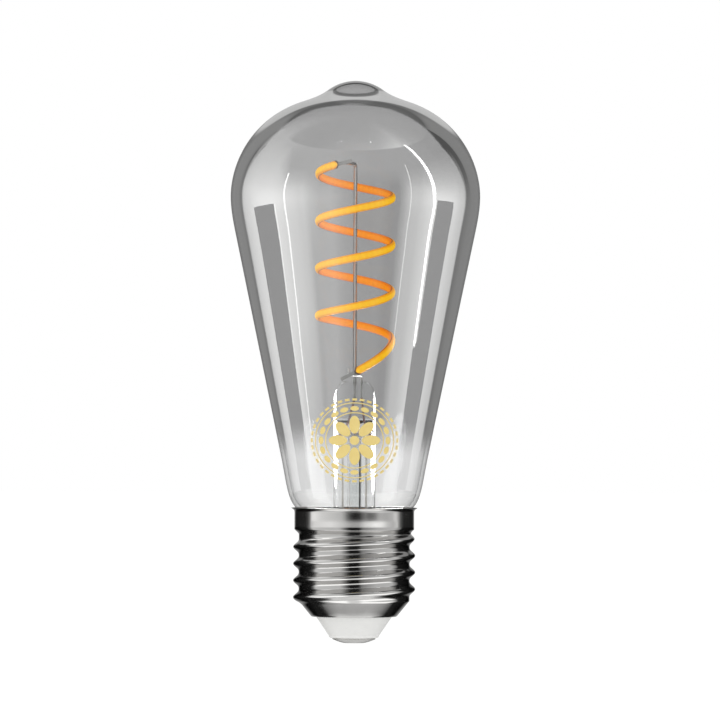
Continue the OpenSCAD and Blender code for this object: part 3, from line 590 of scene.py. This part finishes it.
# The lower turns are tilted up at the back
tilt = addNode(tree, "MapRange", {0: angle, 1: inputs["Spiral Start"], 2: inputs["Spiral End"],
                                  3: inputs["Tilt"], 4: 0.0})
height = addNode(tree, "Math MULTIPLY_ADD", {0: tilt, 1: waves[1], 2: height})
x, y = (addNode(tree, "Math MULTIPLY", {0: wave, 1: inputs["Radius"]}) for wave in waves)
spiral = addNode(tree, "GeometryNodeSetPosition",
                 {"Geometry": spine, "Position": addNode(tree, "CombineXYZ", {0: x, 1: y, 2: height})})
spiral = addNode(tree, "GeometryNodeSetCurveNormal", {"Curve": spiral}, mode="Z_UP")
travel = addNode(tree, "GeometryNodeSplineParameter").outputs["Length"]
spiral = addNode(tree, "GeometryNodeStoreNamedAttribute",
                 {"Geometry": spiral, "Name": "travel", "Value": travel}, domain="POINT")
# Near its ends the section shrinks like a quarter of a circle
length = addNode(tree, "GeometryNodeSplineLength").outputs["Length"]
left = addNode(tree, "Math SUBTRACT", {0: length, 1: travel})
nearest = addNode(tree, "Math MINIMUM", {0: left, 1: travel})
inward = addNode(tree, "Math DIVIDE", {0: nearest, 1: inputs["End Rounding"]}, use_clamp=True)
outward = addNode(tree, "Math SUBTRACT", {0: 1.0, 1: inward})
square = addNode(tree, "Math MULTIPLY", {0: outward, 1: outward})
share = addNode(tree, "Math SUBTRACT", {0: 1.0, 1: square})
share = addNode(tree, "Math SQRT", {0: share})
share = addNode(tree, "Math MAXIMUM", {0: share, 1: coil["endScale"]})
section = addNode(tree, "GeometryNodeObjectInfo", {"Object": inputs["Section"]}).outputs["Geometry"]
spot = addNode(tree, "SeparateXYZ", {0: addNode(tree, "GeometryNodeInputPosition")}).outputs
section = addNode(tree, "GeometryNodeStoreNamedAttribute",
                  {"Geometry": section, "Name": "across", "Value": spot["Y"]}, domain="POINT")
swept = addNode(tree, "GeometryNodeCurveToMesh",
                {"Curve": spiral, "Profile Curve": section, "Scale": share, "Fill Caps": True})
endTree(tree, addNode(tree, "GeometryNodeSetShadeSmooth", {"Geometry": swept}), inputs["Material"])


# A closed section as a flat curve, from points in millimetres
def sectionCurve(name, points):
    data = bpy.data.curves.new(name, "CURVE")
    data.dimensions = "3D"
    spline = data.splines.new("POLY")
    spline.points.add(len(points) - 1)
    for point, (u, v) in zip(spline.points, points):
        point.co = (u * mm, v * mm, 0, 1)
    spline.use_cyclic_u = True
    return addObject(name, data)


# A strip of this section along the spiral, short of its ends by cover in degrees
def spiralPiece(name, section, material, cover, rounding):
    piece = addMesh(name, [], [])
    start = coil["startAngle"]
    end = start + 360 * coil["turns"]
    shape = sectionCurve(name + "Section", section)
    angles = {"Spiral Start": start, "Spiral End": end, "From Angle": start + cover, "To Angle": end - cover,
              "First Span": coil["firstSpan"]}
    values = {"Section": shape, "Material": material, "End Rounding": rounding * mm,
              "Rings": round((end - start - 2 * cover) / coil["ringDegrees"]) + 1}
    values.update({label: math.radians(value) for label, value in angles.items()})
    values.update({label: value * mm for label, value in coil["lengths"].items()})
    useTree(piece, spiralTree, values)
    settle(piece)
    bpy.data.curves.remove(shape.data)
    return piece


halfStrip, halfWidth = coil["stripThick"] / 2, coil["stripWidth"] / 2
arc = [math.pi * (i / coil["arcSteps"] - 0.5) for i in range(coil["arcSteps"] + 1)]
outerSection = [(halfStrip + coil["coatThick"] * math.cos(a), halfWidth * math.sin(a)) for a in arc]
innerSection = [(-u, v) for u, v in reversed(outerSection)]
stripSection = [(-halfStrip, -halfWidth), (halfStrip, -halfWidth), (halfStrip, halfWidth),
                (-halfStrip, halfWidth)]


# A noise over a piece. The grain is the size of its spots in millimetres, the same or one for each axis.
def spotsOf(tree, grain, detail):
    sizes = grain if isinstance(grain, tuple) else (grain, grain, grain)
    place = addNode(tree, "Mapping", {"Vector": addNode(tree, "TexCoord").outputs["Object"],
                                      "Scale": tuple(1 / (size * mm) for size in sizes)})
    return addNode(tree, "TexNoise", {"Vector": place, "Scale": 1.0, "Detail": detail}).outputs["Fac"]


# The noise and the mix of two close tones that follows it
def mottle(tree, grain, detail, dark, pale):
    spots = spotsOf(tree, grain, detail)
    return spots, addNode(tree, "Mix", {0: spots, 6: colour(dark), 7: colour(pale)}, data_type="RGBA")


# Silicone with phosphor, moulded over the strip and lit from inside: amber, a little brighter over each chip,
# and deeper towards the strip's edges, where the light has come through more of it. The powder's grain is
# drawn coarser than it is.
silicone = {"chipLow": 0.95, "chipHigh": 1.05, "edgeStart": 0.35, "edgeShare": 0.72, "grain": 0.2,
            "gloss": 0.45, "ior": 1.41}


def phosphor(name, base, glowColour, edgeColour, strength):
    material, tree = newMaterial(name)
    travel, across = (addNode(tree, "Attribute", attribute_name=stored).outputs["Fac"]
                      for stored in ("travel", "across"))
    wave = addNode(tree, "Math MULTIPLY", {0: travel, 1: math.tau / (coil["chipPitch"] * mm)})
    wave = addNode(tree, "Math SINE", {0: wave})
    shine = addNode(tree, "MapRange", {0: wave, 1: -1.0, 2: 1.0, 3: strength * silicone["chipLow"],
                                       4: strength * silicone["chipHigh"]})
    edge = addNode(tree, "Math ABSOLUTE", {0: across})
    edge = addNode(tree, "MapRange", {0: edge, 1: silicone["edgeStart"] * halfWidth * mm,
                                      2: halfWidth * mm}, **smooth)
    faded = addNode(tree, "MapRange", {0: edge, 3: 1.0, 4: silicone["edgeShare"]})
    shine = addNode(tree, "Math MULTIPLY", {0: shine, 1: faded})
    hue = addNode(tree, "Mix", {0: edge, 6: colour(glowColour), 7: colour(edgeColour)}, data_type="RGBA")
    tone = mottle(tree, silicone["grain"], 2.0, base, glowColour)[1]
    surface = addNode(tree, "BsdfPrincipled", {
        "Base Color": tone, "Roughness": silicone["gloss"], "IOR": silicone["ior"], "Emission Color": hue,
        "Emission Strength": shine})
    addNode(tree, "OutputMaterial", {"Surface": surface})
    return material


# A material of two close tones, whose roughness and shallow bump follow its grain
def grainy(name, dark, pale, grain, roughness, bump=0, detail=4.0, metallic=0.0, ior=1.5, bumpShare=0.3):
    material, tree = newMaterial(name)
    spots, tone = mottle(tree, grain, detail, dark, pale)
    gloss = addNode(tree, "MapRange", {0: spots, 3: roughness[0], 4: roughness[1]})
    inputs = {"Base Color": tone, "Roughness": gloss, "Metallic": metallic, "IOR": ior}
    if bump:
        inputs["Normal"] = addNode(tree, "Bump", {"Strength": bumpShare, "Distance": bump * mm,
                                                  "Height": spots})
    addNode(tree, "OutputMaterial", {"Surface": addNode(tree, "BsdfPrincipled", inputs)})
    return material


# Polyimide strip: brown film with a dull sheen, seen as a thin dark line between the two coats
polyimide = grainy("polyimideFilm", "#6E4A22", "#8A6030", 0.2, (0.4, 0.4), detail=3.0, ior=1.7)

coats = {
    "outer": (outerSection, phosphor("amberPhosphorOuter", "#F2A010", "#FFC608", "#FF9C04", 1.14)),
    "inner": (innerSection, phosphor("amberPhosphorInner", "#F07A10", "#FFA008", "#FF8404", 0.96)),
}
for side, (section, material) in coats.items():
    coat = spiralPiece(f"filament{side.title()}Coat", section, material, coil["coatCover"],
                       coil["coatRounding"])
    place(coat, "phosphor", f"filament_{side}_phosphor")
filamentStrip = spiralPiece("filamentStrip", stripSection, polyimide, 0.0, coil["stripRounding"])
place(filamentStrip, "filament_base", "filament_strip")
print("filament ready")


# The screw cap
cap = {"lipR": 8.2, "lipZ": 5.7, "lipBend": 0.1, "coneR": 9.3, "coneRows": 12, "threadZ": 9.1,
       "threadTopZ": 23.5, "rootR": 11.98, "crestR": 13.2, "pitch": 3.629, "crestHeight": 2.57,
       "crestPower": 1.4, "runOut": 0.3, "startTurns": -0.5, "endShort": 1.2, "collarR": 12.95,
       "collarZ": 24.55, "collarRows": 6, "rimZ": 29.2, "rimRise": 0.55, "rimBend": 0.35, "rimR": 13.65,
       "sheet": 0.3, "rowHeight": 0.125, "segments": 240}

# The tree pushes a tube outwards along a helix, whose crest grows in at one end and runs out at the other
threadTree, inputs = geometryTree("rolledThread", {
    "Float": ["Pitch", "First Crest", "Crest Growth", "Crest Power", "Thread Start", "Thread End",
              "Run Out"]})
tree = threadTree
spot = addNode(tree, "SeparateXYZ", {0: addNode(tree, "GeometryNodeInputPosition")}).outputs
turns = addNode(tree, "Math ARCTAN2", {0: spot["Y"], 1: spot["X"]})
turns = addNode(tree, "Math DIVIDE", {0: turns, 1: math.tau})
level = addNode(tree, "Math SUBTRACT", {0: spot["Z"], 1: inputs["First Crest"]})
level = addNode(tree, "Math DIVIDE", {0: level, 1: inputs["Pitch"]})
crest = addNode(tree, "Math SUBTRACT", {0: level, 1: turns})
crest = addNode(tree, "Math ROUND", {0: crest})
crest = addNode(tree, "Math ADD", {0: crest, 1: turns})
wave = addNode(tree, "Math SUBTRACT", {0: level, 1: crest})
wave = addNode(tree, "Math MULTIPLY", {0: wave, 1: math.tau})
wave = addNode(tree, "Math COSINE", {0: wave})
wave = addNode(tree, "Math MULTIPLY_ADD", {0: wave, 1: 0.5, 2: 0.5}, use_clamp=True)
wave = addNode(tree, "Math POWER", {0: wave, 1: inputs["Crest Power"]})
early = addNode(tree, "Math SUBTRACT", {0: inputs["Thread Start"], 1: inputs["Run Out"]})
late = addNode(tree, "Math ADD", {0: inputs["Thread End"], 1: inputs["Run Out"]})
grown = addNode(tree, "MapRange", {0: crest, 1: early, 2: inputs["Thread Start"]}, **smooth)
faded = addNode(tree, "MapRange", {0: crest, 1: inputs["Thread End"], 2: late, 3: 1.0, 4: 0.0}, **smooth)
growth = addNode(tree, "Math MULTIPLY", {0: grown, 1: faded})
for factor in (wave, inputs["Crest Growth"]):
    growth = addNode(tree, "Math MULTIPLY", {0: growth, 1: factor})
radial = addNode(tree, "CombineXYZ", {0: spot["X"], 1: spot["Y"]})
radial = addNode(tree, "VectorMath NORMALIZE", {0: radial})
offset = addNode(tree, "VectorMath SCALE", {0: radial, 3: growth})
rolled = addNode(tree, "GeometryNodeSetPosition", {"Geometry": inputs["Geometry"], "Offset": offset})
endTree(tree, addNode(tree, "GeometryNodeSetShadeSmooth", {"Geometry": rolled}), inputs["Material"])

# Nickel plate on rolled brass sheet: a bright grey mirror with faint rings from the roller and a slight haze.
# The rings are drawn coarser than the roller's own, so that they show.
plate = {"rings": (1 / 0.3, 1 / 0.3, 1 / 6), "ringDetail": 2.0, "haze": 6.25, "hazeDetail": 3.0,
         "hazeLow": 0.3, "hazeHigh": 0.7, "gloss": (0.09, 0.15), "dent": 0.04, "dentDepth": 0.04}
nickelPlate, tree = newMaterial("nickelPlatedSheet")
rings = spotsOf(tree, plate["rings"], plate["ringDetail"])
haze, tone = mottle(tree, plate["haze"], plate["hazeDetail"], "#D9D8D6", "#E6E5E3")
gloss = addNode(tree, "MapRange", {0: haze, 1: plate["hazeLow"], 2: plate["hazeHigh"], 3: plate["gloss"][0],
                                   4: plate["gloss"][1]})
dent = addNode(tree, "Bump", {"Strength": plate["dent"], "Distance": plate["dentDepth"] * mm,
                              "Height": rings})
surface = addNode(tree, "BsdfPrincipled", {"Base Color": tone, "Metallic": 1.0, "Roughness": gloss,
                                           "Normal": dent})
addNode(tree, "OutputMaterial", {"Surface": surface})

# Lip, cone, plain tube, collar and rim. Short curves lead from the tube to the collar and on to the rim.
lowZ, highZ, rootR = cap["threadZ"], cap["threadTopZ"], cap["rootR"]
collarR, collarZ, rimZ, rimR = cap["collarR"], cap["collarZ"], cap["rimZ"], cap["rimR"]
bend, flareZ = cap["lipBend"], rimZ - cap["rimRise"]
rows, collarRows = round((highZ - lowZ) / cap["rowHeight"]), cap["collarRows"]
cone = (cap["coneR"], cap["lipZ"] + bend)
coneRun = (rootR - cone[0], lowZ - cone[1])
profile = [(cap["lipR"], cap["lipZ"]), (cap["coneR"] - 2 * bend, cap["lipZ"]), cone]
profile += [along(cone, coneRun, i / cap["coneRows"]) for i in range(1, cap["coneRows"])]
profile += [(rootR, lowZ + (highZ - lowZ) * i / rows) for i in range(rows + 1)]
profile += curvePoints([(rootR, highZ), (rootR + 0.05, highZ + 0.25), (collarR - 0.15, collarZ - 0.2),
                        (collarR, collarZ)], 10)[1:]
profile += [(collarR, collarZ + (flareZ - cap["rimBend"] - collarZ) * i / collarRows)
            for i in range(collarRows + 1)]
profile += curvePoints([(collarR, flareZ - cap["rimBend"]), (collarR, flareZ), (rimR - 0.35, rimZ - 0.25),
                        (rimR - 0.1, rimZ - 0.14)], 8)[1:]
profile += [(rimR, rimZ - 0.04), (rimR - 0.02, rimZ)]
screwShell = lathe("screwShell", profile, cap["segments"])
useTree(screwShell, threadTree, {
    "Pitch": cap["pitch"] * mm, "First Crest": (lowZ + cap["crestHeight"]) * mm,
    "Crest Growth": (cap["crestR"] - rootR) * mm, "Crest Power": cap["crestPower"],
    "Thread Start": cap["startTurns"], "Run Out": cap["runOut"], "Material": nickelPlate,
    "Thread End": (highZ - lowZ - cap["endShort"] - cap["crestHeight"]) / cap["pitch"]})
wall = screwShell.modifiers.new("sheet", "SOLIDIFY")
wall.thickness, wall.offset = cap["sheet"] * mm, -1
settle(screwShell)
place(screwShell, "nickel_plate", "screw_shell")
print("cap ready")


# The printed roundel on the glass: three rings of motifs, two lines and a hub. Each motif has its count, how
# far out it is, and its size and corners.
roundel = {"centreZ": 43.8, "frontY": -60.0, "across": 18.7, "up": 17.9, "lineSteps": 96, "hubCorners": 32,
           "splits": 2, "merge": 0.001, "lengths": {"Ink": 0.03, "Gap": 0.01, "Line At": 8.1,
                                                    "Inner Line At": 5.95, "Line Width": 0.2, "Hub": 1.0}}
motifs = {"Dash": (36, 8.95, (0.45, 0.95), 4), "Bead": (20, 7.0, (1.05, 1.8), 12),
          "Petal": (8, 3.45, (3.9, 2.25), 20)}

roundelTree, inputs = geometryTree("printedRoundel", {
    "Object": ["Glass"], "Int": [label + " Count" for label in motifs],
    "Vector": ["Centre", "Stretch"] + [label + " Shape" for label in motifs],
    "Float": [*roundel["lengths"]] + [label + " At" for label in motifs]})
tree = roundelTree
parts = []
# Each motif turns with its place round its ring
for label, (*_, corners) in motifs.items():
    count = inputs[label + " Count"]
    if corners == 4:
        motif = addNode(tree, "GeometryNodeMeshGrid", {0: 1.0, 1: 1.0, 2: 2, 3: 2})
    else:
        motif = addNode(tree, "GeometryNodeMeshCircle", {"Vertices": corners, "Radius": 0.5},
                        fill_type="NGON")
    motif = addNode(tree, "GeometryNodeTransform", {"Geometry": motif, "Scale": inputs[label + " Shape"]})
    ring = addNode(tree, "GeometryNodeMeshCircle", {"Vertices": count, "Radius": inputs[label + " At"]},
                   fill_type="NONE")
    turn = addNode(tree, "Math DIVIDE", {0: addNode(tree, "GeometryNodeInputIndex"), 1: count})
    turn = addNode(tree, "Math MULTIPLY", {0: turn, 1: math.tau})
    turn = addNode(tree, "CombineXYZ", {2: turn})
    parts.append(addNode(tree, "GeometryNodeInstanceOnPoints",
                         {"Points": ring, "Instance": motif, "Rotation": turn}))
for label in ("Line At", "Inner Line At"):
    circle = addNode(tree, "GeometryNodeCurvePrimitiveCircle",
                     {"Resolution": roundel["lineSteps"], "Radius": inputs[label]}, mode="RADIUS")
    across = addNode(tree, "CombineXYZ", {0: inputs["Line Width"]})
    edge = addNode(tree, "GeometryNodeCurvePrimitiveLine", {"Start": (0, 0, 0), "End": across})
    parts.append(addNode(tree, "GeometryNodeCurveToMesh", {"Curve": circle, "Profile Curve": edge}))
parts.append(addNode(tree, "GeometryNodeMeshCircle",
                     {"Vertices": roundel["hubCorners"], "Radius": inputs["Hub"]}, fill_type="NGON"))
flat = addNode(tree, "GeometryNodeRealizeInstances", {0: addNode(tree, "GeometryNodeJoinGeometry",
                                                                 {0: parts[::-1]})})
flat = addNode(tree, "GeometryNodeTransform", {"Geometry": flat, "Scale": inputs["Stretch"]})
upright = addNode(tree, "GeometryNodeTransform",
                  {"Geometry": flat, "Translation": inputs["Centre"], "Rotation": (math.pi / 2, 0, 0)})
fine = addNode(tree, "GeometryNodeTriangulate", {0: upright})
fine = addNode(tree, "GeometryNodeSubdivideMesh", {0: fine, 1: roundel["splits"]})
# The flat print is laid on the glass from the front, lifted a little, and given the ink's thickness
target = addNode(tree, "GeometryNodeObjectInfo", {"Object": inputs["Glass"]}).outputs["Geometry"]
hit = addNode(tree, "GeometryNodeRaycast", {"Target Geometry": target, "Ray Direction": (0, 1, 0),
                                            "Ray Length": 1.0}).outputs
lift = addNode(tree, "VectorMath SCALE", {0: hit["Hit Normal"], 3: inputs["Gap"]})
onGlass = addNode(tree, "VectorMath ADD", {0: hit["Hit Position"], 1: lift})
base = addNode(tree, "GeometryNodeSetPosition", {"Geometry": fine, "Position": onGlass})
raised = addNode(tree, "GeometryNodeExtrudeMesh", {"Mesh": base, "Offset Scale": inputs["Ink"],
                                                   "Individual": False}, mode="FACES").outputs["Mesh"]
under = addNode(tree, "GeometryNodeFlipFaces", {0: base})
solid = addNode(tree, "GeometryNodeJoinGeometry", {0: [raised, under]})
solid = addNode(tree, "GeometryNodeMergeByDistance", {"Geometry": solid, "Distance": roundel["merge"] * mm})
endTree(tree, solid, inputs["Material"])

# Ceramic ink fired on the glass: pale gold, slightly uneven where the screen left less of it
goldInk = grainy("firedGoldInk", "#F5DE93", "#E9CF7C", 1 / 0.7, (0.35, 0.5), detail=3.0)

printed = addMesh("printedRoundel", [], [])
reach = 2 * motifs["Dash"][1] + motifs["Dash"][2][0]
values = {"Glass": bulbGlass, "Material": goldInk,
          "Centre": (0, roundel["frontY"] * mm, roundel["centreZ"] * mm),
          "Stretch": (roundel["across"] / reach, roundel["up"] / reach, 1.0)}
for label, (count, at, (long, wide), _) in motifs.items():
    values.update({label + " Count": count, label + " At": at * mm,
                   label + " Shape": (long * mm, wide * mm, 1.0)})
values.update({label: value * mm for label, value in roundel["lengths"].items()})
useTree(printed, roundelTree, values)
settle(printed)
place(printed, "smoked_glass")
print("roundel ready")


# Finishes of the solids that keep their shape. Grains and lines that are finer on the real ones are drawn as
# coarse as they need to be to show.
def finish(material, *names):
    for name in names:
        for slot in bpy.data.objects[name].material_slots:
            slot.material = material


# Drawn wire: metal with fine lines along it that make its highlight soft
wireSpread, longGrain = (0.7, 1.3), 1 / 0.3
wires = {
    "drawnNickelWire": ("#CDCDCB", "#E3E3E1", 0.35, (0.25, 0.25, longGrain), "long_lead_wire",
                        "short_lead_wire"),
    "annealedNickelStrip": ("#8C8C8A", "#A2A2A0", 0.45, 1 / 3, "upper_end_tab", "lower_end_tab"),
    "boratedDumetWire": ("#8E4032", "#B0604A", 0.4, (0.25, 0.25, 2.5), "seal_wires"),
    "tinnedCopperWire": ("#B9B5AE", "#D2CEC8", 0.3, (0.25, 0.25, longGrain), "outer_lead_wires",
                         "shell_feed_wire", "contact_feed_wire"),
}
for name, (dark, pale, roughness, lines, *pieces) in wires.items():
    gloss = [roughness * share for share in wireSpread]
    finish(grainy(name, dark, pale, lines, gloss, detail=3.0, metallic=1.0), *pieces)

# Fire-polished soda-lime glass: clear, with dark edges where it bends the white room away
material, tree = newMaterial("clearStemGlass")
tone = mottle(tree, 1 / 0.12, 1.0, "#F4F6F6", "#FDFDFD")[1]
surface = addNode(tree, "BsdfPrincipled", {"Base Color": tone, "Roughness": 0.02, "IOR": 1.51,
                                           "Transmission Weight": 1.0})
clear = addNode(tree, "BsdfTransparent", {"Color": colour("#F2F2F2")})
inShadow = addNode(tree, "LightPath").outputs["Is Shadow Ray"]
addNode(tree, "OutputMaterial", {"Surface": addNode(tree, "MixShader", {0: inShadow, 1: surface, 2: clear})})
finish(material, "stem", "exhaust_tube")

# Each has its two tones, grain, lowest roughness and bump, and the pieces it goes on
glossSpread = 0.1
finishes = {
    # Baked basing cement: pale and gritty
    "bakedBasingCement": ("#B8B0A0", "#D2CCBE", 1 / 0.9, 0.85, 0.05, "basing_cement"),
    # Moulded white insulator: satin, with a very slight mottle from the mould
    "mouldedWhiteInsulator": ("#EFEFEE", "#F6F6F5", 1 / 0.35, 0.32, 0.01, "cap_insulator"),
    # Moulded PBT: warm white, matt
    "mouldedCarrierPbt": ("#D8D4C8", "#E4E1D6", 2.0, 0.45, 0.02, "board_carrier"),
    # Moulded epoxy: black with a fine spark-eroded grain
    "mouldedEpoxyBlack": ("#161616", "#262626", 1 / 1.5, 0.55, 0.02, "rectifier", "driver_chip"),
    # Solder mask over copper and glass-epoxy: a deep colour under a gloss
    "greenSolderMask": ("#0B4A26", "#14703C", 1 / 0.26, 0.25, 0.02, "driver_board"),
    "blueSolderMask": ("#0C2A5C", "#15418A", 1 / 0.3, 0.25, 0.02, "radio_module"),
    # Shrunk sleeve, fired ferrite, lacquer and extruded insulation: dark, from glossy to dull
    "shrinkSleeveBlack": ("#14161E", "#20242F", 1 / 0.3, 0.28, 0.01, "smoothing_capacitor"),
    "firedFerriteDrum": ("#1E1C1B", "#302D2B", 1.25, 0.5, 0.02, "inductor"),
    "lacqueredResistor": ("#1C5450", "#2A6F69", 2.0, 0.3, 0.01, "fusible_resistor"),
    "blackWireInsulation": ("#151515", "#242424", 1 / 0.7, 0.35, 0.01, "radio_aerial"),
}
for name, (dark, pale, grain, roughness, bump, *pieces) in finishes.items():
    finish(grainy(name, dark, pale, grain, (roughness, roughness + glossSpread), bump), *pieces)

# The contact is pressed from sheet and nickel-plated like the cap, dulled by handling
finish(grainy("pressedContactNickel", "#C4C3C0", "#DEDDDB", 1 / 0.6, (0.22, 0.38), metallic=1.0),
       "centre_contact")
print("finishes ready")

print("scene ready")
